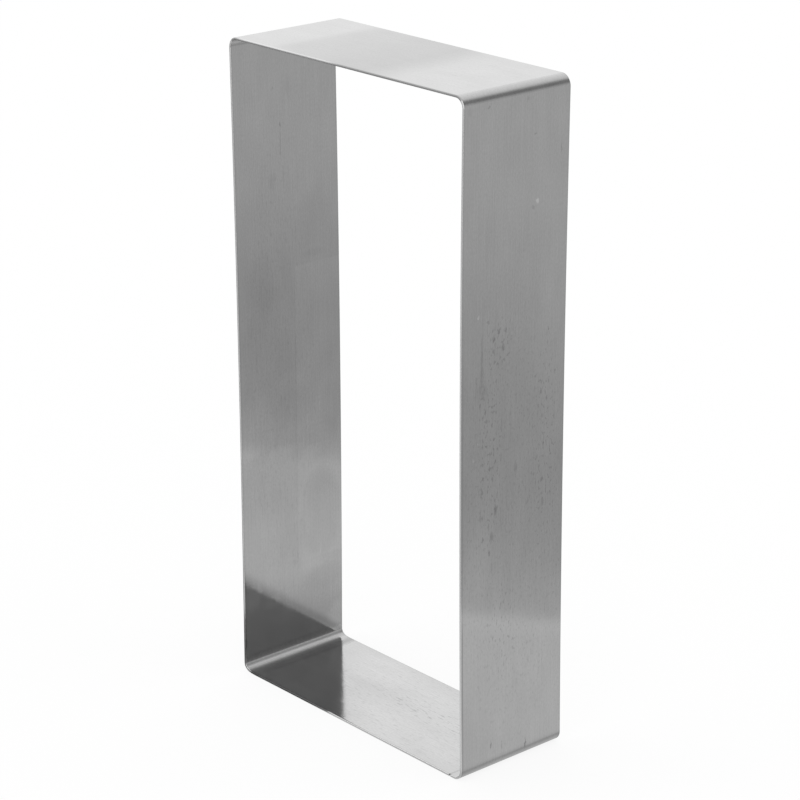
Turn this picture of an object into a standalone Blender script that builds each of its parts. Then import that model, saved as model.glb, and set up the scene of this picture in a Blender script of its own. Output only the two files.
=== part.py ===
"""A rectangular mousse ring: one strip of stainless steel, bent four times and welded end to end.

The ring stands on one of its short walls. X runs across the short side, Y along the opening and
Z up the long side. The origin is the middle of the face it stands on.
"""

import math

import bmesh
import bpy

# Driving dimensions, in metres. Outside sizes of the finished ring.
LONG_SIDE = 0.230
SHORT_SIDE = 0.115
RING_DEPTH = 0.045

# The sheet it is made of, and the small round left along both rims by deburring.
SHEET_THICKNESS = 0.0008
RIM_BREAK = 0.00012

# The bends: their radius inside, and how far the long walls lean in at mid-height.
BEND_INNER_RADIUS = 0.0030
LONG_WALL_BOW = 0.00075

# The butt weld in the bottom wall: the flat between the bend and the joint, the joint's width,
# how far the bead stops short of each rim, and how proud it stands inside the ring.
SEAM_TO_BEND = 0.0016
SEAM_WIDTH = 0.0008
SEAM_SETBACK = 0.0005
BEAD_CROWN = 0.00008

# How finely the round stretches are divided.
BEND_STEPS = 12
LONG_WALL_STEPS = 16
RIM_STEPS = 2
BEAD_STEPS = 6

# Finishes: colour, roughness and metallic value.
BRUSHED_STEEL = ((0.67, 0.67, 0.67, 1.0), 0.28, 1.0)
GROUND_WELD = ((0.58, 0.58, 0.58, 1.0), 0.38, 1.0)

# Sizes worked out from the ones above.
BEND_OUTER_RADIUS = BEND_INNER_RADIUS + SHEET_THICKNESS
BEND_X = SHORT_SIDE / 2 - BEND_OUTER_RADIUS
BEND_LOW_Z = BEND_OUTER_RADIUS
BEND_HIGH_Z = LONG_SIDE - BEND_OUTER_RADIUS
SEAM_RIGHT_X = BEND_X - SEAM_TO_BEND
SEAM_LEFT_X = SEAM_RIGHT_X - SEAM_WIDTH

# Each bend goes this far past square, and the long wall between two bends springs back in a
# shallow arc, so that the tangents meet and the wall's middle lies LONG_WALL_BOW inside.
WALL_HALF_HEIGHT = LONG_SIDE / 2 - BEND_OUTER_RADIUS
OVERBEND = 2 * math.atan(LONG_WALL_BOW / WALL_HALF_HEIGHT)

RIGHT_ANGLE = math.pi / 2
SHARP_ANGLE = math.radians(40)


def clear_scene():
    """Removes whatever the open file holds."""
    for obj in list(bpy.data.objects):
        bpy.data.objects.remove(obj, do_unlink=True)


def steel(name, finish):
    """A metal material with one Principled BSDF."""
    colour, roughness, metallic = finish
    material = bpy.data.materials.new(name)
    material.use_nodes = True
    shader = material.node_tree.nodes["Principled BSDF"]
    shader.inputs["Base Color"].default_value = colour
    shader.inputs["Roughness"].default_value = roughness
    shader.inputs["Metallic"].default_value = metallic
    material.diffuse_color = colour
    return material


def add_object(name, bm, material):
    """Turns a finished bmesh into a smooth-shaded object."""
    bmesh.ops.recalc_face_normals(bm, faces=bm.faces)
    mesh = bpy.data.meshes.new(name)
    bm.to_mesh(mesh)
    bm.free()
    mesh.shade_smooth()
    mesh.set_sharp_from_angle(angle=SHARP_ANGLE)
    mesh.materials.append(material)
    obj = bpy.data.objects.new(name, mesh)
    bpy.context.scene.collection.objects.link(obj)
    return obj


def strip_section():
    """The strip's cross-section as (y, height over the outer face), with its rim corners rounded."""
    inset = RING_DEPTH / 2 - RIM_BREAK
    corners = [
        (-inset, RIM_BREAK, 2 * RIGHT_ANGLE),
        (inset, RIM_BREAK, 3 * RIGHT_ANGLE),
        (inset, SHEET_THICKNESS - RIM_BREAK, 0),
        (-inset, SHEET_THICKNESS - RIM_BREAK, RIGHT_ANGLE),
    ]
    section = []
    for y, height, start in corners:
        for step in range(RIM_STEPS + 1):
            angle = start + RIGHT_ANGLE * step / RIM_STEPS
            section.append((y + RIM_BREAK * math.cos(angle), height + RIM_BREAK * math.sin(angle)))
    return section


def station(centre_x, centre_z, radius, angle, inward):
    """One station on a round stretch: the outer face's point, and the way into the sheet there."""
    cos, sin = math.cos(angle), math.sin(angle)
    return centre_x + radius * cos, centre_z + radius * sin, inward * cos, inward * sin


def bend(side, centre_z, start, end):
    """The stations of one bend, whose centre lies inside the ring."""
    for step in range(BEND_STEPS + 1):
        angle = start + (end - start) * step / BEND_STEPS
        yield station(side * BEND_X, centre_z, BEND_OUTER_RADIUS, angle, inward=-1)


def long_wall(side):
    """The stations between two bends: a shallow arc about a far centre outside the ring."""
    if OVERBEND == 0:
        return
    reach = WALL_HALF_HEIGHT / math.sin(OVERBEND)
    centre_x = side * (BEND_X + reach * math.cos(OVERBEND))
    middle = 0 if side < 0 else math.pi
    for step in range(1, LONG_WALL_STEPS):
        angle = middle + OVERBEND * (2 * step / LONG_WALL_STEPS - 1)
        yield station(centre_x, LONG_SIDE / 2, reach - BEND_OUTER_RADIUS, angle, inward=1)


def strip_path():
    """Every station of the strip, clockwise from the seam's left side to its right side."""
    yield SEAM_LEFT_X, 0, 0, 1
    yield from bend(-1, BEND_LOW_Z, -RIGHT_ANGLE, -2 * RIGHT_ANGLE - OVERBEND)
    yield from long_wall(-1)
    yield from bend(-1, BEND_HIGH_Z, 2 * RIGHT_ANGLE + OVERBEND, RIGHT_ANGLE)
    yield from bend(1, BEND_HIGH_Z, RIGHT_ANGLE, -OVERBEND)
    yield from long_wall(1)
    yield from bend(1, BEND_LOW_Z, OVERBEND, -RIGHT_ANGLE)
    yield SEAM_RIGHT_X, 0, 0, 1


def extrude_face(bm, face):
    """Extrudes the leading face in place and returns the new one."""
    made = bmesh.ops.extrude_face_region(bm, geom=[face, *face.edges])["geom"]
    return next(item for item in made if isinstance(item, bmesh.types.BMFace))


def formed_band(material):
    """The whole strip, its cross-section drawn along the path."""
    section = strip_section()
    bm = bmesh.new()
    face = bm.faces.new([bm.verts.new((0, y, height)) for y, height in section])
    for index, (x, z, inward_x, inward_z) in enumerate(strip_path()):
        if index:
            face = extrude_face(bm, face)
        for vertex, (y, height) in zip(face.verts, section):
            vertex.co = (x + inward_x * height, y, z + inward_z * height)
    return add_object("formed_band", bm, material)


def weld_seam(material):
    """The bead between the strip's ends: flush outside, with a low crown inside the ring."""
    middle = (SEAM_LEFT_X + SEAM_RIGHT_X) / 2
    front = SEAM_SETBACK - RING_DEPTH / 2
    back = RING_DEPTH / 2 - SEAM_SETBACK
    outline = [(SEAM_LEFT_X, 0), (SEAM_RIGHT_X, 0), (SEAM_RIGHT_X, SHEET_THICKNESS)]
    for step in range(1, BEAD_STEPS):
        across = 1 - 2 * step / BEAD_STEPS
        rise = BEAD_CROWN * (1 - across**2)
        outline.append((middle + across * SEAM_WIDTH / 2, SHEET_THICKNESS + rise))
    outline.append((SEAM_LEFT_X, SHEET_THICKNESS))
    bm = bmesh.new()
    face = bm.faces.new([bm.verts.new((x, front, z)) for x, z in outline])
    for vertex in extrude_face(bm, face).verts:
        vertex.co.y = back
    return add_object("weld_seam", bm, material)


def main():
    clear_scene()
    formed_band(steel("brushed_steel", BRUSHED_STEEL))
    weld_seam(steel("ground_weld", GROUND_WELD))


main()
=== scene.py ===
"""Looks for a rectangular mousse ring: brushed steel strip, bent four times and closed by one weld.

The ring stands on a short wall. X runs across the short side, Y from rim to rim and Z up the long
side, in metres.
"""

import logging
import math
from collections.abc import Iterator
from dataclasses import dataclass
from enum import Enum

import bmesh
import bpy
from mathutils import Euler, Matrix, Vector


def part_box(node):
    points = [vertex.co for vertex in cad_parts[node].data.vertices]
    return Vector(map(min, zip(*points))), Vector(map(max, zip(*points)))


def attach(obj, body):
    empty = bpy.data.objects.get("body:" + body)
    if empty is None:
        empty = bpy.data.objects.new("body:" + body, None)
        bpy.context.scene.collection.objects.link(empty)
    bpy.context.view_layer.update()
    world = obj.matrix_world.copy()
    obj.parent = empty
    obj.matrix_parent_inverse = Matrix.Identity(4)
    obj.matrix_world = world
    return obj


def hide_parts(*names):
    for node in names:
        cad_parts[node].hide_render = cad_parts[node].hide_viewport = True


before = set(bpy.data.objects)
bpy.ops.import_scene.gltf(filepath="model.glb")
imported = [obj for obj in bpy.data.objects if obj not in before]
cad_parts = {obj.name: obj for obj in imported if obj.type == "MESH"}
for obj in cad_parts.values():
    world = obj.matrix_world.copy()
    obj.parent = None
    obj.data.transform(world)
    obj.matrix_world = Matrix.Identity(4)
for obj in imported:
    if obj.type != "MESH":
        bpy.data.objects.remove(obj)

LOG = logging.getLogger("mousse_ring")
RIGHT_ANGLE = math.pi / 2
SHARP_ANGLE = math.radians(40)
MM = 0.001

# The place that a point of the ring had in the flat strip, kept on every vertex: metres along the
# strip from its cut end, across it from its middle line, and above its outer face.
FLAT_STRIP = "flat_strip"

Triple = tuple[float, float, float]
Pair = tuple[float, float]
Pairs = tuple[Pair, ...]


class Wire:
    """A socket of a node tree that Python's arithmetic works on.

    Every operator adds one Math node.
    """

    def __init__(self, sheet: "NodeSheet", socket: bpy.types.NodeSocket) -> None:
        """Wraps an output socket of a sheet's tree."""
        self.sheet = sheet
        self.socket = socket

    def math(self, operation: str, *others: "Wire | float") -> "Wire":
        """This value put through a Math node, with the others in its further sockets."""
        return self.sheet.node("ShaderNodeMath", {"operation": operation}, self, *others)

    def __add__(self, other: "Wire | float") -> "Wire":
        """This value plus another."""
        return self.math("ADD", other)

    def __mul__(self, other: "Wire | float") -> "Wire":
        """This value times another."""
        return self.math("MULTIPLY", other)

    def __sub__(self, other: "Wire | float") -> "Wire":
        """This value less another."""
        return self.math("SUBTRACT", other)

    def __rsub__(self, other: float) -> "Wire":
        """A number less this value."""
        return self.sheet.node("ShaderNodeMath", {"operation": "SUBTRACT"}, other, self)

    def __abs__(self) -> "Wire":
        """This value without its sign."""
        return self.math("ABSOLUTE")

    __radd__ = __add__
    __rmul__ = __mul__

    def rise(self, low: float, high: float, start: float = 0, end: float = 1) -> "Wire":
        """A smooth step from start to end as this value rises, or falls, from low to high."""
        settings = {"interpolation_type": "SMOOTHSTEP", "clamp": False}
        return self.sheet.node("ShaderNodeMapRange", settings, self, low, high, start, end)


class NodeSheet:
    """A node tree as it is drawn up, with one method that adds any node."""

    def __init__(self, tree: bpy.types.NodeTree) -> None:
        """Empties the tree."""
        tree.nodes.clear()
        self.tree = tree

    def node(
        self,
        kind: str,
        settings: dict | None = None,
        *inputs: Wire | float | tuple | Vector | None,
        out: int | str = 0,
        **named: Wire | float | tuple | Vector,
    ) -> Wire | None:
        """Adds a node.

        Args:
            kind: Its type.
            settings: Its properties, set before its sockets.
            *inputs: Values or links of its first sockets in order. None leaves one alone.
            out: The output wanted.
            **named: Values or links by socket name, with _ for a space.

        Returns:
            That output, or None if the node has none.
        """
        node = self.tree.nodes.new(kind)
        for name, value in (settings or {}).items():
            setattr(node, name, value)
        pairs = list(enumerate(inputs))
        pairs += [(name.replace("_", " "), value) for name, value in named.items()]
        for key, value in pairs:
            if value is None:
                continue
            if isinstance(value, Wire):
                self.tree.links.new(value.socket, node.inputs[key])
            else:
                node.inputs[key].default_value = value
        return Wire(self, node.outputs[out]) if node.outputs else None

    def curve(self, value: Wire, points: Pairs) -> Wire:
        """A curve through a few points.

        Args:
            value: What is looked up.
            points: Pairs of value and level, by rising value.

        Returns:
            The level, straight between points.
        """
        low, high = points[0][0], points[-1][0]
        share = self.node("ShaderNodeMapRange", {}, value, low, high, 0, 1)
        ramp = self.node("ShaderNodeValToRGB", {}, share)
        elements = ramp.socket.node.color_ramp.elements
        for index, (at, level) in enumerate(points):
            position = (at - low) / (high - low)
            element = elements[index] if index < len(elements) else elements.new(position)
            element.position = position
            element.color = (level, level, level, 1)
        return ramp

    def blend(self, factor: Wire, first: Wire | float, second: Wire | float) -> Wire:
        """One value turning into another as the factor rises."""
        return self.node("ShaderNodeMix", {"data_type": "FLOAT"}, factor, None, first, second)

    def vector(self, operation: str, *inputs: Wire | tuple | Vector, **options: str) -> Wire:
        """One Vector Math node."""
        return self.node("ShaderNodeVectorMath", {"operation": operation}, *inputs, **options)

    def split(self, vector: Wire) -> tuple[Wire, Wire, Wire]:
        """A vector's three values."""
        parts = self.node("ShaderNodeSeparateXYZ", {}, vector).socket.node
        return tuple(Wire(self, socket) for socket in parts.outputs)

    def join(self, *parts: Wire | float) -> Wire:
        """A vector from three values."""
        return self.node("ShaderNodeCombineXYZ", {}, *parts)

    def metal(self, level: Wire, roughness: Wire, tilt: Wire) -> None:
        """Ends a material's sheet with bare metal.

        Args:
            level: Its grey level.
            roughness: Its roughness.
            tilt: What is added to the surface's direction, as a slope along X, Y and Z.
        """
        normal = self.node("ShaderNodeNewGeometry", {}, out="Normal")
        shader = self.node(
            "ShaderNodeBsdfPrincipled",
            {},
            Base_Color=self.join(level, level, level),
            Metallic=1,
            Roughness=roughness,
            Normal=self.vector("NORMALIZE", self.vector("ADD", normal, tilt)),
        )
        self.node("ShaderNodeOutputMaterial", {}, shader)


@dataclass(frozen=True)
class Grain:
    """A noise that runs over the metal, and what it does there.

    Attributes:
        cell: Size of one of its cells along each direction, in metres.
        detail: How many finer layers it has.
        shade: How much lighter or darker it makes the metal.
        rough: How much rougher or smoother it does.
        tilt: How far it tilts the surface, as a slope.
        peak: From which level of it, and to which, a fleck darkens.
    """

    cell: Triple
    detail: float
    shade: float = 0
    rough: float = 0
    tilt: float = 0
    peak: Pair = (0.5, 1)

    def draw(self, place: Wire, out: int = 0) -> Wire:
        """The noise about 0.5, as one value or as three in a vector."""
        cells = place.sheet.vector("DIVIDE", place, self.cell)
        return cells.sheet.node(
            "ShaderNodeTexNoise", {}, cells, Scale=1, Detail=self.detail, out=out
        )

    def swing(self, place: Wire) -> Wire:
        """The noise about 0."""
        return self.draw(place) - 0.5


class Wall(Enum):
    """The ring's four walls, in the order in which the strip runs round it."""

    BOTTOM = "bottom"
    LEFT = "left"
    TOP = "top"
    RIGHT = "right"


class Skin(Enum):
    """The strip's two faces, by their height over the outer one in sheet thicknesses."""

    OUTER = 0
    INNER = 1


@dataclass(frozen=True)
class Station:
    """One place along the strip.

    Attributes:
        x: Where the strip's outer face is.
        z: Its height there.
        inward_x: The share along X of the way from the outer face into the sheet.
        inward_z: That way's share along Z.
        along: The length of strip behind it.
    """

    x: float
    z: float
    inward_x: float
    inward_z: float
    along: float

    def place(self, across: float, height: float) -> Vector:
        """Where a point of the strip's section lies at this station."""
        return Vector((self.x + self.inward_x * height, across, self.z + self.inward_z * height))


@dataclass(frozen=True)
class Bend:
    """The shape of one bend: arcs that follow on each other, from the short wall to the long one.

    Attributes:
        arcs: Each arc's inside radius, and its share of the turn.
    """

    arcs: Pairs

    def trace(self, turn: float, thickness: float, steps: int) -> list[Triple]:
        """The places round the outer face.

        Args:
            turn: How far the bend turns.
            thickness: Thickness of the sheet.
            steps: Faces round one arc.

        Returns:
            The way out along the short wall, the way off it, and the angle turned so far.
        """
        out, off, angle = 0.0, 0.0, 0.0
        places = [(out, off, angle)]
        for inside, share in self.arcs:
            radius = inside + thickness
            for _ in range(steps):
                last, angle = angle, angle + turn * share / steps
                out += radius * (math.sin(angle) - math.sin(last))
                off += radius * (math.cos(last) - math.cos(angle))
                places.append((out, off, angle))
        return places


@dataclass
class FormedBand:
    """The strip, bent into the ring.

    Attributes:
        long_side: Outside height as it stands.
        short_side: Outside width.
        depth: Width of the strip, from rim to rim.
        seam_left: Where the strip starts, at the joint in the bottom wall.
        seam_right: Where it ends, on the joint's other side.
        thickness: Thickness of the sheet.
        rim_break: Small round along both rims.
        usual_bend: Three of the bends.
        uneven_bend: The fourth, left of the bottom wall.
        wall_bow: How far the long walls lean in at mid-height.
        bend_steps: Faces round one arc of a bend.
        wall_steps: Faces along one long wall.
        rim_steps: Faces round one rim corner.
        guard: Width of the narrow faces beside each curve, which keep the flats flat when shaded.
    """

    long_side: float
    short_side: float
    depth: float
    seam_left: float
    seam_right: float
    thickness: float = 0.0008
    rim_break: float = 0.0002
    usual_bend: Bend = Bend(((0.0030, 1.0),))
    uneven_bend: Bend = Bend(((0.0180, 0.09), (0.0042, 0.27), (0.0019, 0.64)))
    wall_bow: float = 0.00075
    bend_steps: int = 32
    wall_steps: int = 40
    rim_steps: int = 4
    guard: float = 0.0002

    @property
    def outer_radius(self) -> float:
        """Outside radius of the usual bends."""
        ((inside, _),) = self.usual_bend.arcs
        return inside + self.thickness

    @property
    def bend_x(self) -> float:
        """How far each bend's centre is from the middle."""
        return self.short_side / 2 - self.outer_radius

    @property
    def wall_half(self) -> float:
        """Half the height between the two bends of a long wall."""
        return self.long_side / 2 - self.outer_radius

    @property
    def overbend(self) -> float:
        """How far each bend goes past square."""
        return 2 * math.atan(self.wall_bow / self.wall_half)

    @property
    def turn(self) -> float:
        """How far each bend turns."""
        return RIGHT_ANGLE + self.overbend

    @property
    def corner(self) -> float:
        """From a usual bend's start to the corner in which its two walls would meet."""
        return self.outer_radius * math.tan(self.turn / 2)

    def tangents(self, bend: Bend) -> Pair:
        """How far from the corner a bend starts on its short wall, and ends on its long one."""
        out, off, angle = bend.trace(self.turn, self.thickness, 1)[-1]
        return out - off / math.tan(angle), off / math.sin(angle)

    def arc(self, bend: Bend) -> float:
        """Length of strip at this bend, between where a usual one would start and end."""
        radius = sum((inside + self.thickness) * share for inside, share in bend.arcs)
        return radius * self.turn + 2 * self.corner - sum(self.tangents(bend))

    def along(self, wall: Wall, place: float) -> float:
        """How far along the flat strip a place on one wall is.

        Args:
            wall: The wall.
            place: x on a short wall, z on a long one.

        Returns:
            The length of strip before it.
        """
        bottom = self.seam_left + self.bend_x
        left = bottom + self.arc(self.uneven_bend)
        top = left + 2 * self.wall_half + self.arc(self.usual_bend)
        right = top + 2 * self.bend_x + self.arc(self.usual_bend)
        match wall:
            case Wall.BOTTOM:
                return self.seam_left - place
            case Wall.LEFT:
                return left + place - self.outer_radius
            case Wall.TOP:
                return top + self.bend_x + place
            case Wall.RIGHT:
                return right + self.long_side - self.outer_radius - place

    def bend(self, side: int, low: bool, bend: Bend) -> list[tuple]:
        """The outer face's places round one bend, from its short wall to its long one.

        Args:
            side: -1 for the left, 1 for the right.
            low: Whether it is beside the bottom wall.
            bend: Its shape.

        Returns:
            x, z and the two shares of the way into the sheet.
        """
        places = bend.trace(self.turn, self.thickness, self.bend_steps)
        farthest = self.bend_x + self.outer_radius * math.cos(self.overbend)
        start = farthest - max(out for out, _, _ in places)
        floor, up = (0, 1) if low else (self.long_side, -1)
        return [
            (side * (start + out), floor + up * off, -side * math.sin(angle), up * math.cos(angle))
            for out, off, angle in places
        ]

    def flat(self, start: float, end: float, z: float, inward_z: int) -> list[tuple]:
        """What bend returns, for the outer face's places at the two guards of a short wall."""
        way = math.copysign(self.guard, end - start)
        return [(x, z, 0, inward_z) for x in (start + way, end - way)]

    def long_wall(self, side: int) -> Iterator[tuple]:
        """The outer face's places between two bends, on an arc about a far centre outside.

        Args:
            side: -1 for the left wall, which goes up, 1 for the right one, which comes down.

        Yields:
            What bend returns.
        """
        reach = self.wall_half / math.sin(self.overbend)
        centre_x = side * (self.bend_x + reach * math.cos(self.overbend))
        radius = reach - self.outer_radius
        shares = [step / self.wall_steps for step in range(1, self.wall_steps)]
        edge = self.guard / (2 * self.wall_half)
        for share in (edge, *shares, 1 - edge):
            turn = self.overbend * (2 * share - 1)
            cos, sin = math.cos(turn), math.sin(turn)
            x = centre_x - side * radius * cos
            yield x, self.long_side / 2 - side * radius * sin, -side * cos, -side * sin

    def stations(self) -> Iterator[Station]:
        """Follows the strip from the joint's left side round to its right side.

        Yields:
            Its stations.
        """
        low_left = self.bend(-1, True, self.uneven_bend)
        places = [(self.seam_left, 0, 0, 1)]
        places += self.flat(self.seam_left, low_left[0][0], 0, 1)
        places += low_left
        places += self.long_wall(-1)
        places += reversed(self.bend(-1, False, self.usual_bend))
        places += self.flat(-self.bend_x, self.bend_x, self.long_side, -1)
        places += self.bend(1, False, self.usual_bend)
        places += self.long_wall(1)
        places += reversed(self.bend(1, True, self.usual_bend))
        places += self.flat(self.bend_x, self.seam_right, 0, 1)
        places += [(self.seam_right, 0, 0, 1)]
        along, last = 0.0, places[0]
        for place in places:
            along += math.dist(place[:2], last[:2])
            last = place
            yield Station(*place, along)

    def section(
        self, bm: bmesh.types.BMesh, flat_strip: bmesh.types.BMLayerItem
    ) -> bmesh.types.BMFace:
        """The strip's cut end, with its rim corners rounded.

        Args:
            bm: The mesh being built.
            flat_strip: The layer that keeps each vertex's place in the flat strip.

        Returns:
            The end's face.
        """
        half = self.depth / 2
        corners = ((-half, 0), (half, 0), (half, self.thickness), (-half, self.thickness))
        end = bm.faces.new([bm.verts.new((0, across, height)) for across, height in corners])
        bmesh.ops.bevel(
            bm,
            geom=end.verts,
            offset=self.rim_break,
            offset_type="OFFSET",
            affect="VERTICES",
            segments=self.rim_steps,
            profile=0.5,
            material=-1,
        )
        (end,) = bm.faces
        for vertex in end.verts:
            vertex[flat_strip] = vertex.co
        return end

    def build(self) -> bpy.types.Object:
        """Draws the section along the strip's path.

        Returns:
            The strip.
        """
        bm = bmesh.new()
        flat_strip = bm.verts.layers.float_vector.new(FLAT_STRIP)
        end = self.section(bm, flat_strip)
        for index, station in enumerate(self.stations()):
            if index:
                end = extruded(bm, end)
            for vertex in end.verts:
                _, across, height = vertex[flat_strip]
                vertex[flat_strip] = Vector((station.along, across, height))
                vertex.co = station.place(across, height)
        for side in (-1, 1):
            guard = Vector((0, side * (self.depth / 2 - self.rim_break - self.guard), 0))
            bmesh.ops.bisect_plane(
                bm, geom=[*bm.verts, *bm.edges, *bm.faces], plane_co=guard, plane_no=(0, 1, 0)
            )
        return finished("brushed_band", bm)

    def dress(self, band: bpy.types.Object, finish: "BrushedSteel") -> None:
        """Gives the strip its finish and puts it in the frame in place of its plain solid.

        Args:
            band: The strip.
            finish: Its finish.
        """
        band.data.materials.append(finish.material(self))
        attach(band, "root")
        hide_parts("formed_band")


@dataclass
class WeldSeam:
    """The weld between the strip's ends, flush with both faces of the sheet.

    Attributes:
        low: The solid weld's lowest corner.
        high: Its highest corner, on the low crown that it has inside the ring.
        thickness: Thickness of the sheet that it joins.
    """

    low: Vector
    high: Vector
    thickness: float = 0.0008

    def build(self) -> bpy.types.Object:
        """Fills the joint from its front end to its back end.

        Returns:
            The bead.
        """
        low, high = self.low, self.high
        bm = bmesh.new()
        corners = ((low.x, 0), (high.x, 0), (high.x, self.thickness), (low.x, self.thickness))
        end = bm.faces.new([bm.verts.new((x, low.y, z)) for x, z in corners])
        for vertex in extruded(bm, end).verts:
            vertex.co.y = high.y
        return finished("ground_bead", bm)

    def dress(self, bead: bpy.types.Object, finish: "FusedSteel") -> None:
        """Gives the bead its finish and puts it in the frame in place of its plain solid.

        Args:
            bead: The bead.
            finish: Its finish.
        """
        bead.data.materials.append(finish.material(self))
        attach(bead, "root")
        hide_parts("weld_seam")


def extruded(bm: bmesh.types.BMesh, face: bmesh.types.BMFace) -> bmesh.types.BMFace:
    """Extrudes the leading face in place and returns the new one."""
    made = bmesh.ops.extrude_face_region(bm, geom=[face, *face.edges])["geom"]
    return next(item for item in made if isinstance(item, bmesh.types.BMFace))


def finished(name: str, bm: bmesh.types.BMesh) -> bpy.types.Object:
    """Turns a bmesh into a smooth-shaded object.

    Args:
        name: The object's name.
        bm: Its mesh, which is freed.

    Returns:
        The object, linked to the scene.
    """
    bmesh.ops.recalc_face_normals(bm, faces=bm.faces)
    mesh = bpy.data.meshes.new(name)
    bm.to_mesh(mesh)
    bm.free()
    mesh.shade_smooth()
    mesh.set_sharp_from_angle(angle=SHARP_ANGLE)
    made = bpy.data.objects.new(name, mesh)
    bpy.context.scene.collection.objects.link(made)
    return made


@dataclass(frozen=True)
class Mark:
    """A mark on a wall, in millimetres: a handling mark, or painted shade or a painted highlight.

    Attributes:
        across: Its place from the strip's middle line towards the back rim.
        up: Its height on a long wall, or its x on a short one.
        length: Its size along the strip.
        width: Its size across the strip.
        depth: The share of the light that it takes. A bright one has a depth below 0.
        core: The share of its radius that is evenly dark.
        crisp: Whether it is a rectangle with clean edges, where others are round and ragged.
    """

    across: float
    up: float
    length: float
    width: float
    depth: float = 0.1
    core: float = 0.3
    crisp: bool = False

    def level(self, place: Wire, band: FormedBand, wall: Wall, skin: Skin) -> Wire:
        """The share of the light that it leaves.

        Args:
            place: The place in the flat strip.
            band: The strip.
            wall: The wall that it is on.
            skin: The face that it is on.

        Returns:
            1 outside the mark.
        """
        centre = (band.along(wall, self.up * MM), self.across * MM, skin.value * band.thickness)
        radii = (self.length * MM / 2, self.width * MM / 2, band.thickness / 2)
        scale = tuple(1 / radius for radius in radii)
        offset = tuple(-middle / radius for middle, radius in zip(centre, radii))
        sheet = place.sheet
        local = sheet.vector("MULTIPLY_ADD", place, scale, offset)
        if self.crisp:
            along, across, height = (abs(part) for part in sheet.split(local))
            distance = along.math("MAXIMUM", across).math("MAXIMUM", height)
        else:
            distance = sheet.vector("LENGTH", local, out="Value")
        return distance.rise(self.core, 1, 1 - self.depth, 1)


def marked(*rows: tuple[float, ...]) -> tuple[Mark, ...]:
    """Turns rows of values, each in the order of a mark's fields, into marks."""
    return tuple(Mark(*row) for row in rows)


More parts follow.
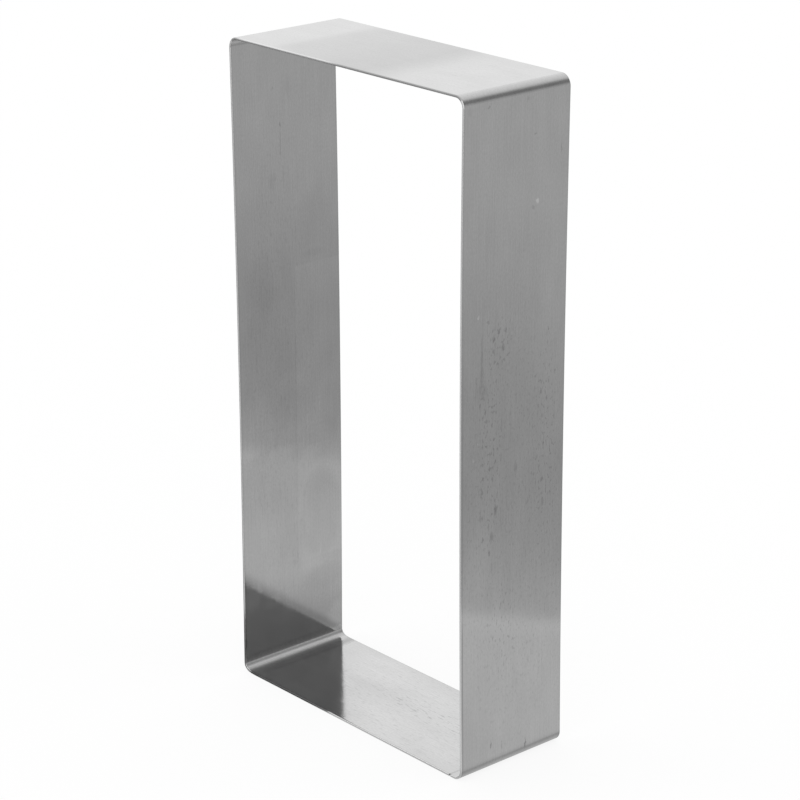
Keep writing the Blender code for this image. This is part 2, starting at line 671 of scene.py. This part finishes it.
# Where the outer face of the right wall was handled: drops that dried, and rubs, and two broad
# patches a little lighter. The four crisp ones along the front rim are painted shade and painted
# highlights: dark lines beside the rim and light lines on it; the long narrow ones along rims below
# are painted shade and painted highlights as well. A row gives a mark's place across and up, its
# length and width, its depth and, where they aren't the usual ones, its core and crispness.
RIGHT_WALL_MARKS = marked(
    (-3.7, 152.3, 3.2, 1.1, 0.27), (-6.7, 152.5, 1.8, 1.4, 0.28), (-9.5, 153.1, 1.8, 1.1, 0.2),
    (-11.2, 156.2, 1.6, 2, 0.19), (-8.8, 150.1, 3.4, 1.2, 0.32), (-4.9, 146.5, 3.8, 1.7, 0.27),
    (-9.1, 146.2, 2, 1.2, 0.2), (-7.2, 141.8, 2, 1.1, 0.19), (-5.2, 142, 2.6, 0.9, 0.15),
    (-9.8, 140.7, 1.2, 1.2, 0.19), (-13.8, 144.5, 21, 1.3, 0.16), (-13.9, 138, 11, 2.6, 0.09, 0.2),
    (-13.5, 134.3, 6, 5, 0.13), (-13.6, 134.4, 2, 1.5, -0.14, 0.4),
    (-16.4, 133.6, 5, 1.1, 0.1, 0.2), (-11.4, 132.4, 3.4, 1, 0.1, 0.2),
    (-16.1, 137.5, 8, 0.8, 0.15), (-13.6, 131.6, 1.4, 3.6, 0.15), (-14.5, 129.3, 2.4, 1.1, 0.24),
    (-12.2, 126.8, 2.2, 1.2, 0.27), (-8.6, 126, 1.1, 3.2, 0.2), (-11.6, 123.4, 2.4, 1.6, 0.2),
    (15, 148.8, 1.8, 1.4, 0.24), (18, 133.6, 1.8, 1.1, 0.2), (9.5, 133.8, 1.2, 1.2, 0.19),
    (11.6, 131.7, 1.6, 1.1, 0.2), (12, 128, 2.8, 1, 0.24), (14.4, 125.1, 2.4, 1.6, 0.16),
    (12.7, 119.6, 2.8, 1.6, 0.12), (13.5, 110.5, 7.5, 0.6, 0.16), (-11.9, 115, 1.6, 1.8, 0.27),
    (-10.1, 111.9, 2.4, 0.9, 0.23), (-13.3, 109.2, 1.3, 1.5, 0.23), (-10.2, 107, 1.8, 1.7, 0.27),
    (-13, 104.3, 1.8, 1.2, 0.2), (-9, 103, 2, 1, 0.2), (-13.7, 100.1, 4.2, 0.9, 0.2),
    (-13.5, 97.8, 1.6, 1.5, 0.19), (-7.5, 92.3, 4.6, 2.2, 0.24), (-13.7, 91, 3.4, 2.4, 0.12),
    (-10.4, 87.4, 3.4, 0.8, 0.2), (-9.1, 83.4, 5, 2.2, 0.19), (-13, 83.3, 2.8, 1, 0.27),
    (-10.3, 78.1, 3.2, 1, 0.23), (12.9, 97.7, 2.2, 1.6, 0.24), (16.7, 92.3, 1.8, 1.2, 0.19),
    (13.3, 89.6, 4.6, 1.4, 0.19), (1.1, 104.6, 5, 2.2, 0.15), (3, 97.5, 3.6, 0.5, 0.19),
    (6.6, 91.4, 2.2, 1.8, 0.15), (-15.5, 158.7, 1.6, 0.7, -0.28), (-15.6, 116.5, 1, 0.8, -0.28),
    (-17.2, 111.6, 1.6, 0.8, -0.32), (9.1, 192, 2.2, 1.4, -0.32), (7.2, 190, 1.6, 1.6, 0.16),
    (-12.1, 225.5, 1.2, 1, 0.2), (4.2, 225.4, 3, 0.7, 0.12), (7.7, 213.6, 1.4, 1.1, 0.18),
    (-20, 225, 4, 2.8, 0.06), (-9.3, 9.3, 4.5, 0.9, 0.4), (-4.6, 7.6, 6, 0.7, 0.14),
    (6.2, 5.4, 4.6, 0.6, 0.36), (19.1, 207.5, 4.5, 0.5, 0.24),
    # Painted shade and painted highlights: dark lines beside the front rim and light lines on it.
    (-21.75, 75, 160, 0.7, 0.12, 0.5, True), (-21.9, 28, 64, 0.5, 0.25, 0.7, True),
    (-22.6, 30, 72, 0.5, -0.35, 0.6, True), (-22.15, 32, 80, 0.5, -0.25, 0.5, True),
    (-15, 76, 34, 16, -0.06), (18, 148, 92, 27, -0.06, 0.4),
)

# Where the inner face of the left wall was rubbed, or is a little lighter or darker, with painted
# light and shade near its foot: a painted highlight along the bend, painted shade and painted light
# 9 mm up, and painted shade along the front rim low down.
LEFT_WALL_MARKS = marked(
    (2.2, 108, 106, 0.7, 0.06), (12.6, 90.5, 112, 20.6, -0.045, 0.98, True),
    (12.6, 52, 40, 20.6, 0.045, 0.75), (0, 95, 21, 28, 0.09), (18.5, 90, 28, 14, 0.065, 0.4),
    (-17.5, 82.5, 9, 17, -0.08, 0.2), (-4, 79.5, 8, 20, -0.07, 0.2), (9, 76.5, 7, 14, -0.07, 0.2),
    (-18.5, 27, 13, 11, -0.24), (-10.5, 23, 7.5, 12, -0.2, 0.2), (14, 57, 26, 22, 0.045, 0.4),
    (14, 26.5, 14, 24, 0.065, 0.4), (-1, 47, 34, 17, 0.035, 0.5), (10.7, 149.3, 4.4, 13, 0.05),
    (11, 161, 24, 24, 0.03, 0.5), (-9, 124, 70, 26, 0.03), (-12, 142, 30, 18, 0.03),
    # Below, the second row is painted shade along the front rim low down.
    (0, 72, 44, 90, 0.08, 0.4), (-22.5, 13.5, 20, 1.6, 0.55, 0.7), (-5.4, 209.7, 1.6, 1.2, 0.14),
    (-2.5, 196.9, 3, 1, 0.22), (-2.6, 189.5, 14, 0.9, 0.12), (-1.7, 178.5, 12, 0.8, 0.09),
    (-6.4, 178, 8, 4.5, 0.07), (0.8, 209.6, 9, 3, 0.04), (-1, 145.5, 16, 8, 0.04),
    (1.6, 59.4, 2.8, 1.2, 0.08), (1.6, 65.5, 2.6, 0.6, 0.07), (1.5, 56, 2, 0.7, 0.07),
    (2.6, 53.8, 1.3, 0.8, 0.07), (0.8, 49.6, 4.6, 0.7, 0.05), (1.5, 44.6, 3.4, 0.6, 0.05),
    (0.9, 35.6, 2, 6, 0.05), (12.5, 37.2, 7.5, 0.5, -0.1), (20, 23.1, 5, 0.5, -0.06),
    # Below, the last row is a painted highlight along the bend at the wall's foot.
    (-5, 63.8, 6.5, 0.5, -0.05), (8, 33, 9, 15, -0.05, 0.1), (0, 3.9, 3.2, 90, -0.38),
    # Below: painted shade in front and painted light behind, over the shade that the wall mirrors
    # low down.
    (-8, 9, 13, 40, 0.07), (21, 9.5, 15, 14, -0.14, 0.4),
)

# Rubs on the top wall and the bottom one, and patches a little lighter or darker. Along their front
# rims lie painted highlights, on the top wall, and painted shade, on the bottom one; the bottom
# wall also has painted shade just past its bend at the left.
TOP_WALL_MARKS = marked(
    (3.7, 10, 3, 2.6, 0.03), (-4.7, 30.5, 8, 1.6, 0.03), (0.4, 49.5, 5, 0.9, 0.03),
    (8.1, 48.7, 3.5, 1.8, 0.03), (-13.7, 7.5, 9, 5, 0.02), (-1.3, 25.2, 6.5, 0.8, 0.06),
    (15.6, 24.2, 7.5, 0.8, 0.06), (11.8, 33.2, 10, 0.8, 0.06), (-5.4, 34.2, 6, 0.8, 0.08),
    (7.1, 49.3, 6, 0.8, 0.06), (0, -8, 60, 90, 0.045, 0.7),
    # A painted highlight along the front rim's left half.
    (-22.5, -28.5, 57, 0.9, -0.8, 0.7, True),
)
# A painted highlight on the inner half of the top wall's front rim.
TOP_RIM_PAINTED_HIGHLIGHT = marked((-22.5, -28.5, 57, 0.9, -0.4, 0.7, True))
# Painted shade on the bottom wall's front rim, at its left end.
BOTTOM_RIM_PAINTED_SHADE = marked((-22.5, -50, 20, 1, 0.4, 0.5, True))
BOTTOM_WALL_MARKS = marked(
    # Below, the third row is painted shade just past the bend at the left.
    (12, -22, 44, 24, -0.05, 0.4), (0, 22, 84, 70, -0.05, 0.5), (0, -51, 6.8, 90, 0.34),
    # Below, the first row is painted shade along the front rim, where the bottom wall mirrors dark.
    (-22.5, -32.5, 45, 1, 0.75, 0.92, True), (16, -17, 66, 18, -0.03, 0.5),
    (1, -8, 52, 9, 0.03, 0.4), (-17, 23, 8, 3, 0.04), (-19, 33, 9, 3, 0.03),
)

MARKS_AND_PAINTED_LIGHT = {
    (Wall.RIGHT, Skin.OUTER): RIGHT_WALL_MARKS,
    (Wall.LEFT, Skin.INNER): LEFT_WALL_MARKS,
    (Wall.TOP, Skin.OUTER): TOP_WALL_MARKS,
    (Wall.TOP, Skin.INNER): TOP_RIM_PAINTED_HIGHLIGHT,
    (Wall.BOTTOM, Skin.OUTER): BOTTOM_RIM_PAINTED_SHADE,
    (Wall.BOTTOM, Skin.INNER): BOTTOM_WALL_MARKS,
}

# Where fine specks, or short streaks, lie close together. The depth is how dark they are.
SPECKLED = {
    (Wall.RIGHT, Skin.OUTER): marked(
        (-10, 112, 80, 14, 0.16), (14.5, 112, 100, 14, 0.15), (-6, 148, 26, 16, 0.15),
        (-4, 50, 40, 18, 0.12), (0, 80, 190, 60, 0.1, 0.6),
    ),
    (Wall.LEFT, Skin.INNER): marked((-10, 120, 180, 24, 0.06, 0.4)),
}
STREAKED = {
    (Wall.RIGHT, Skin.OUTER): marked((0, 100, 190, 60, 0.05, 0.7)),
    (Wall.LEFT, Skin.INNER): marked((-4, 110, 220, 40, 0.06, 0.6)),
    (Wall.BOTTOM, Skin.INNER): marked((2.5, 16, 74, 13, 0.17, 0.4), (0, 10, 110, 70, 0.09, 0.7)),
    (Wall.TOP, Skin.OUTER): marked((0, 0, 120, 70, 0.03, 0.7)),
}


@dataclass(frozen=True)
class BrushedSteel:
    """Stainless strip with its grain along its length.

    Attributes:
        name: The material's name.
        outer: Grey level of the outer face.
        inner: Grey level of the inner one.
        roughness: Roughness seen along the grain.
        rim_roughness: Roughness of the cut and deburred rims.
        faces_apart: How many times farther apart the two faces are set for the patterns.
        fine_lines: The grain's finest lines.
        lines: The lines that the eye can part.
        clouds: The broad clouds.
        mottle: The finest mottle.
        specks: Fine specks, which lie close together in the patches of SPECKLED.
        streaks: Short streaks along the grain, which do in those of STREAKED.
        mark_rough: How much rougher a mark is that takes all the light.
        stray: What the ragged edge of a mark follows.
        wander: How far it strays, along and across, in metres.
        inner_side: Between which heights the outer face's level turns into the inner one's, in
            thicknesses.
        top_painted_shade: Level along the outer face of the top wall, by millimetres of x: painted
            shade, darker in the middle, standing in for the uneven reflection of its slight
            waviness.
        stretched: How much rougher the steel is outside a bend, where its grain was stretched.
        stretch_blur: Half the length over which that starts and ends.
        squeezed: How much rougher it is inside one.
        squeezed_from: Where that starts, in metres past the end of the long wall.
        squeezed_to: Where it ends.
        rim_side: Between which distances from the rim the cut metal begins, in rim breaks.
        rim_level: Grey level of that metal.
        rim_line_shade: How much lighter or darker the lines are in it.
        top_rim_level: The share of its level that the rims of the top wall keep, which makes them
            darker.
        top_rim_blur: Half the length over which that ends, in the middle of a bend.
        painted_rim_shade: Between which distances from the rim the faces turn darker, as painted
            shade: a dark line beside each rim.
        painted_rim_shade_level: The share of the light that they keep there.
    """

    name: str = "brushed_strip"
    outer: float = 0.705
    inner: float = 0.66
    roughness: float = 0.11
    rim_roughness: float = 0.3
    faces_apart: float = 100
    fine_lines: Grain = Grain((0.012, 0.00004, 0.01), 1, tilt=0.08)
    lines: Grain = Grain((0.030, 0.00045, 0.01), 3, shade=0.15, rough=0.10, tilt=0.012)
    clouds: Grain = Grain((0.016, 0.008, 0.01), 4, shade=0.15, rough=0.06)
    mottle: Grain = Grain((0.0011, 0.0005, 0.01), 2, shade=0.20)
    specks: Grain = Grain((0.0016, 0.0008, 0.01), 1, peak=(0.58, 0.70))
    streaks: Grain = Grain((0.0034, 0.0007, 0.01), 2, peak=(0.54, 0.68))
    mark_rough: float = 0.2
    stray: Grain = Grain((0.0015, 0.0008, 0.01), 1)
    wander: Triple = (0.0026, 0.0014, 0)
    inner_side: Pair = (0.3, 0.7)
    top_painted_shade: Pairs = (
        (-42, 0.99), (-37, 0.98), (-32, 0.88), (-20, 0.87), (-7, 0.83), (10, 0.81), (14, 0.84),
        (19, 0.89), (24, 0.96), (30, 0.975),
    )
    stretched: float = 0.12
    stretch_blur: float = 0.0006
    squeezed: float = 0.22
    squeezed_from: Pair = (0.0003, 0.0013)
    squeezed_to: Pair = (0.0054, 0.0040)
    rim_side: Pair = (1.1, 0.7)
    rim_level: float = 0.88
    rim_line_shade: float = 0.3
    top_rim_level: float = 0.5
    top_rim_blur: float = 0.0004
    painted_rim_shade: Pair = (0.0007, 0.0003)
    painted_rim_shade_level: float = 0.9

    def material(self, band: FormedBand) -> bpy.types.Material:
        """Draws up the material.

        Args:
            band: The strip that it is for.

        Returns:
            The material.
        """
        material = bpy.data.materials.new(self.name)
        material.use_nodes = True
        sheet = NodeSheet(material.node_tree)
        place = sheet.node("ShaderNodeAttribute", {"attribute_name": FLAT_STRIP}, out="Vector")
        # The two faces are set wide apart, so that no pattern is the same on both.
        apart = sheet.vector("MULTIPLY", place, (1, 1, self.faces_apart))
        along, across, height = sheet.split(place)
        # The marks hold handling marks, and painted shade and painted highlights.
        marks = self.marks(place, apart, band)
        lines = self.lines.swing(apart)
        clouds = self.clouds.swing(apart)
        mottle = self.mottle.swing(apart)
        inside = height.rise(*(share * band.thickness for share in self.inner_side))
        skin = sheet.blend(inside, self.outer, self.inner)
        past_top = along - band.along(Wall.TOP, 0)
        # Painted shade along the top wall's outer face, standing in for the uneven reflection of
        # its slight waviness.
        top_shaded = sheet.blend(inside, sheet.curve(past_top * (1 / MM), self.top_painted_shade), 1.0)
        from_middle = abs(across)
        half = band.depth / 2
        # Painted shade: a dark line along the faces beside each rim.
        painted_rim_shade = from_middle.rise(*(half - way for way in self.painted_rim_shade), 1, self.painted_rim_shade_level)
        shade = (lines * self.lines.shade + 1) * (clouds * self.clouds.shade + 1)
        face = skin * shade * (mottle * self.mottle.shade + 1) * marks * top_shaded * painted_rim_shade
        from_top = abs(past_top)
        bend_middle = band.bend_x + band.arc(band.usual_bend) / 2
        ends = (bend_middle - self.top_rim_blur, bend_middle + self.top_rim_blur)
        # The rims of the top wall are darker, up to the middle of its bends.
        edge = from_top.rise(*ends, self.top_rim_level, 1) * (lines * self.rim_line_shade + 1)
        rim = from_middle.rise(*(half - share * band.rim_break for share in self.rim_side))
        level = sheet.blend(rim, face, edge * marks * self.rim_level)
        rough = lines * self.lines.rough + clouds * self.clouds.rough
        rough += (1 - marks) * self.mark_rough + self.strained(from_top, inside, band)
        rough = sheet.blend(rim, rough + self.roughness, self.rim_roughness)
        slope = self.fine_lines.swing(apart) * self.fine_lines.tilt + lines * self.lines.tilt
        sheet.metal(level, rough, sheet.join(0, slope, 0))
        return material

    def marks(self, place: Wire, apart: Wire, band: FormedBand) -> Wire:
        """The share of the light that the marks leave: handling marks, and painted shade and
        painted highlights.

        Args:
            place: The place in the flat strip.
            apart: The same with the two faces far apart.
            band: The strip.

        Returns:
            1 where the steel is clean.
        """
        sheet = place.sheet
        stray = self.stray.draw(apart, out=1)
        centred = sheet.vector("SUBTRACT", stray, (0.5, 0.5, 0.5))
        strayed = sheet.vector("ADD", place, sheet.vector("MULTIPLY", centred, self.wander))
        level = None
        for (wall, skin), marks in MARKS_AND_PAINTED_LIGHT.items():
            for mark in marks:
                share = mark.level(place if mark.crisp else strayed, band, wall, skin)
                level = share if level is None else level * share
        for grain, sides in ((self.specks, SPECKLED), (self.streaks, STREAKED)):
            pattern = grain.draw(apart).rise(*grain.peak)
            for (wall, skin), patches in sides.items():
                for patch in patches:
                    share = patch.level(strayed, band, wall, skin)
                    level = level * (1 - (1 - share) * pattern)
        return level

    def strained(self, from_top: Wire, inside: Wire, band: FormedBand) -> Wire:
        """How much rougher the strip is where it was bent.

        Args:
            from_top: The distance along the strip from the middle of the top wall.
            inside: 1 on the inner face.
            band: The strip.

        Returns:
            What the bends add to the roughness.
        """
        arc, start, blur = band.arc(band.usual_bend), band.wall_half, self.stretch_blur
        into = abs(from_top - (band.bend_x + arc + start)) - start
        outer = into.rise(-blur, blur) * into.rise(arc + blur, arc - blur)
        inner = into.rise(*self.squeezed_from) * into.rise(*self.squeezed_to)
        return into.sheet.blend(inside, outer * self.stretched, inner * self.squeezed)


@dataclass(frozen=True)
class FusedSteel:
    """The weld's metal, dull and slightly mottled, and scratched along the joint where ground.

    Attributes:
        name: The material's name.
        colour: Grey level of the metal.
        roughness: Roughness of the metal.
        mottle: The fused metal's mottle.
        scratches: The grinding scratches.
        ground_side: Between which heights the metal turns from welded to ground, in thicknesses.
        unground: The share of the scratches' tilt that the welded side has.
    """

    name: str = "ground_weld"
    colour: float = 0.58
    roughness: float = 0.32
    mottle: Grain = Grain((0.0012, 0.003, 0.0012), 3, shade=0.18, rough=0.2)
    scratches: Grain = Grain((0.00005, 0.004, 1), 2, shade=0.10, tilt=0.25)
    ground_side: Pair = (0.5, 0.1)
    unground: float = 0.2

    def material(self, seam: WeldSeam) -> bpy.types.Material:
        """Draws up the material.

        Args:
            seam: The weld that it is for.

        Returns:
            The material.
        """
        material = bpy.data.materials.new(self.name)
        material.use_nodes = True
        sheet = NodeSheet(material.node_tree)
        place = sheet.node("ShaderNodeTexCoord", {}, out="Object")
        mottle = self.mottle.swing(place)
        scratches = self.scratches.swing(place)
        _, _, height = sheet.split(place)
        heights = (share * seam.thickness for share in self.ground_side)
        ground = height.rise(*heights, self.unground, 1)
        shade = mottle * self.mottle.shade + scratches * self.scratches.shade
        level = (shade + 1) * self.colour
        slope = scratches * ground * self.scratches.tilt
        rough = mottle * self.mottle.rough + self.roughness
        sheet.metal(level, rough, sheet.join(slope, 0, 0))
        return material


@dataclass(frozen=True)
class Room:
    """What stands round the ring: a pale room with one dark corner, and the floor.

    The camera and every matt surface see it white. Only metal and glass see its greys.

    Attributes:
        dark_way: The way to the middle of the dark corner.
        levels: The room's level by the cosine of the angle from that way.
        skirting: How much darker the dark side is low down.
        skirting_height: From which upward share of the way, and to which, it darkens.
        skirting_width: The same for the cosine of the angle from dark_way.
        floor_radius: Size of the floor.
        floor_sides: How many straight edges it has.
        glow: The share of the floor's white that needs no light, which keeps its shadow soft.
        beside: The way over the floor along which side_levels run.
        side_levels: The floor's level by its distance from the ring that way.
        toward_lens: The way over the floor to the side that the lens stands on.
        lens_width: From which cosine of the angle from it, and to which, the floor takes
            lens_level.
        lens_reach: The same for the distance from the ring.
        lens_level: The floor's level on that side.
        footprint: Half the size of what stands on the floor.
        contact_gap: How far outside its outline the floor is darkest.
        contact_reach: How far from there the floor gets its full light again.
        contact_level: The share of the light that the floor gets there.
        shade_start: A place on the edge of the shade in front of the rims.
        shade_way: The way into that shade, square to its edge.
        shade_edge: From where, and to where, it deepens along that way.
        shade_front: The same along y.
        shade_level: The share of the light that the floor gets in it.
        sheltered: The middle of the patch of floor that the left wall keeps dark.
        shelter_size: Radius of that patch.
        shelter_level: The share of the light that it gets.
        far_reach: From where, and to where, the floor takes the room's own level.
    """

    dark_way: Triple = (0.607, 0.663, 0.438)
    levels: Pairs = (
        (0.10, 0.95), (0.28, 0.91), (0.44, 0.865), (0.577, 0.82), (0.69, 0.78), (0.782, 0.735),
        (0.857, 0.67), (0.905, 0.60), (0.94, 0.45), (0.965, 0.33), (0.985, 0.19), (1.0, 0.155),
    )
    skirting: float = 0.28
    skirting_height: Pair = (0.25, 0.03)
    skirting_width: Pair = (0.6, 0.85)
    floor_radius: float = 6.0
    floor_sides: int = 96
    glow: float = 0.85
    beside: Triple = (0.626, 0.780, 0)
    side_levels: Pairs = (
        (-0.62, 0.40), (-0.54, 0.62), (-0.04, 0.62), (0.0, 0.56), (0.126, 0.545), (0.141, 0.55),
        (0.146, 0.60), (0.152, 0.58), (0.158, 0.455), (0.172, 0.435), (0.195, 0.41),
        (0.218, 0.385), (0.25, 0.365), (0.29, 0.352), (0.39, 0.357), (0.49, 0.39), (0.59, 0.415),
        (0.69, 0.445),
    )
    toward_lens: Triple = (0.7071, -0.7071, 0)
    lens_width: Pair = (0.5, 0.9)
    lens_reach: Pair = (0.05, 0.15)
    lens_level: float = 0.3
    footprint: Pair = (0.0575, 0.0225)
    contact_gap: float = 0.003
    contact_reach: float = 0.0048
    contact_level: float = 0.67
    shade_start: Triple = (-0.011, -0.0225, 0)
    shade_way: Triple = (-0.47, 0.88, 0)
    shade_edge: Pair = (-0.0035, 0.0055)
    shade_front: Pair = (-0.0215, -0.0223)
    shade_level: float = 0.13
    sheltered: Triple = (-0.042, 0.026, 0)
    shelter_size: float = 0.05
    shelter_level: float = 0.72
    far_reach: Pair = (0.8, 2.5)

    def tone(self, way: Wire) -> Wire:
        """The room's level in one direction.

        Args:
            way: A unit vector.

        Returns:
            The level, where 1 is white.
        """
        sheet = way.sheet
        toward = Vector(self.dark_way).normalized()
        cosine = sheet.vector("DOT_PRODUCT", way, toward, out="Value")
        _, _, upward = sheet.split(way)
        low = upward.rise(*self.skirting_height) * cosine.rise(*self.skirting_width)
        return sheet.curve(cosine, self.levels) * (1 - low * self.skirting)

    def light_world(self) -> None:
        """Hangs the room round the ring."""
        world = bpy.data.worlds.new("room")
        bpy.context.scene.world = world
        world.use_nodes = True
        world.cycles.sampling_method = "NONE"
        sheet = NodeSheet(world.node_tree)
        way = sheet.node("ShaderNodeTexCoord", {}, out="Generated")
        level = sheet.blend(in_metal(sheet), 1.0, self.tone(way))
        background = sheet.node("ShaderNodeBackground", {}, level, 1.0)
        sheet.node("ShaderNodeOutputWorld", {}, background)

    def floor_tone(self, place: Wire) -> Wire:
        """The floor's level as metal sees it.

        Args:
            place: The place on the floor.

        Returns:
            The level, where 1 is white.
        """
        sheet = place.sheet
        way = sheet.vector("NORMALIZE", place)
        distance = sheet.vector("LENGTH", place, out="Value")
        beside = sheet.vector("DOT_PRODUCT", place, self.beside, out="Value")
        toward_lens = sheet.vector("DOT_PRODUCT", way, self.toward_lens, out="Value")
        lens_side = toward_lens.rise(*self.lens_width) * distance.rise(*self.lens_reach)
        level = sheet.blend(lens_side, sheet.curve(beside, self.side_levels), self.lens_level)
        from_shelter = sheet.vector("DISTANCE", place, self.sheltered, out="Value")
        level = level * from_shelter.rise(0, self.shelter_size, self.shelter_level, 1)
        level = level * self.contact(place)
        return sheet.blend(distance.rise(*self.far_reach), level, self.tone(way))

    def contact(self, place: Wire) -> Wire:
        """The share of the light that the floor gets close to the ring.

        Args:
            place: The place on the floor.

        Returns:
            1 away from it.
        """
        sheet = place.sheet
        x, y, _ = sheet.split(place)
        half_width, half_depth = self.footprint
        outline = (abs(x) - half_width).math("MAXIMUM", abs(y) - half_depth)
        from_edge = sheet.vector("SUBTRACT", place, self.shade_start)
        into_shade = sheet.vector("DOT_PRODUCT", from_edge, self.shade_way, out="Value")
        shade = into_shade.rise(*self.shade_edge) * y.rise(*self.shade_front)
        from_darkest = abs(outline - self.contact_gap)
        beside = from_darkest.rise(0, self.contact_reach, self.contact_level, 1)
        return beside * (1 - shade * (1 - self.shade_level))

    def lay_floor(self) -> None:
        """Lays a wide pale floor that keeps the ring's shadow."""
        bm = bmesh.new()
        bmesh.ops.create_circle(
            bm, cap_ends=True, radius=self.floor_radius, segments=self.floor_sides
        )
        floor = finished("floor", bm)
        material = bpy.data.materials.new("pale_floor")
        material.use_nodes = True
        material.cycles.emission_sampling = "NONE"
        sheet = NodeSheet(material.node_tree)
        place = sheet.node("ShaderNodeTexCoord", {}, out="Object")
        level = sheet.blend(in_metal(sheet), 1.0, self.floor_tone(place))
        diffuse = sheet.node("ShaderNodeBsdfDiffuse", {}, level * (1 - self.glow))
        glow = sheet.node("ShaderNodeEmission", {}, level * self.glow, 1.0)
        both = sheet.node("ShaderNodeAddShader", {}, diffuse, glow)
        sheet.node("ShaderNodeOutputMaterial", {}, both)
        floor.data.materials.append(material)


def in_metal(sheet: NodeSheet) -> Wire:
    """Tells what metal and glass show from what is seen directly.

    Args:
        sheet: The nodes being drawn up.

    Returns:
        1 for what is seen mirrored in metal or through glass, and 0 for the rest.
    """
    path = sheet.node("ShaderNodeLightPath").socket.node
    mirrored, through = (
        Wire(sheet, path.outputs[name]) for name in ("Is Glossy Ray", "Is Transmission Ray")
    )
    return mirrored.math("MAXIMUM", through)


@dataclass(frozen=True)
class Camera:
    """The photograph's viewpoint.

    Attributes:
        place: Where it stands, in metres.
        heading: Degrees about Z.
        pitch: Degrees up from straight down.
        roll: Degrees about its own line of sight.
        focal_length: In millimetres.
        sensor_width: In millimetres.
        nearest: The nearest that it sees, in metres.
    """

    place: Triple = (0.664615, -0.577136, 0.429436)
    heading: float = 48.9513
    pitch: float = 70.2003
    roll: float = -0.2424
    focal_length: float = 126.066
    sensor_width: float = 36
    nearest: float = 0.01

    def aim(self) -> None:
        """Makes the camera and hands it to the scene."""
        data = bpy.data.cameras.new("camera")
        data.sensor_width = self.sensor_width
        data.lens = self.focal_length
        data.clip_start = self.nearest
        camera = bpy.data.objects.new("camera", data)
        bpy.context.scene.collection.objects.link(camera)
        turn = Euler((0, 0, math.radians(self.roll))).to_matrix()
        turn.rotate(Euler((math.radians(self.pitch), 0, math.radians(self.heading))))
        camera.rotation_euler = turn.to_euler()
        camera.location = self.place
        bpy.context.scene.camera = camera


def main() -> None:
    """Builds the ring and its room, and reports each piece."""
    logging.basicConfig(level=logging.INFO, format="%(name)s: %(message)s")
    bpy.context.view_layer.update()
    bpy.context.scene.view_settings.view_transform = "Standard"
    low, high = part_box("formed_band")
    seam_low, seam_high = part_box("weld_seam")
    size = high - low
    band = FormedBand(
        long_side=size.z,
        short_side=size.x,
        depth=size.y,
        seam_left=seam_low.x,
        seam_right=seam_high.x,
    )
    strip = band.build()
    band.dress(strip, BrushedSteel())
    seam = WeldSeam(seam_low, seam_high)
    bead = seam.build()
    seam.dress(bead, FusedSteel())
    for piece in (strip, bead):
        LOG.info("%s: %d faces", piece.name, len(piece.data.polygons))
    room = Room()
    room.light_world()
    room.lay_floor()
    Camera().aim()


if __name__ == "__main__":
    main()
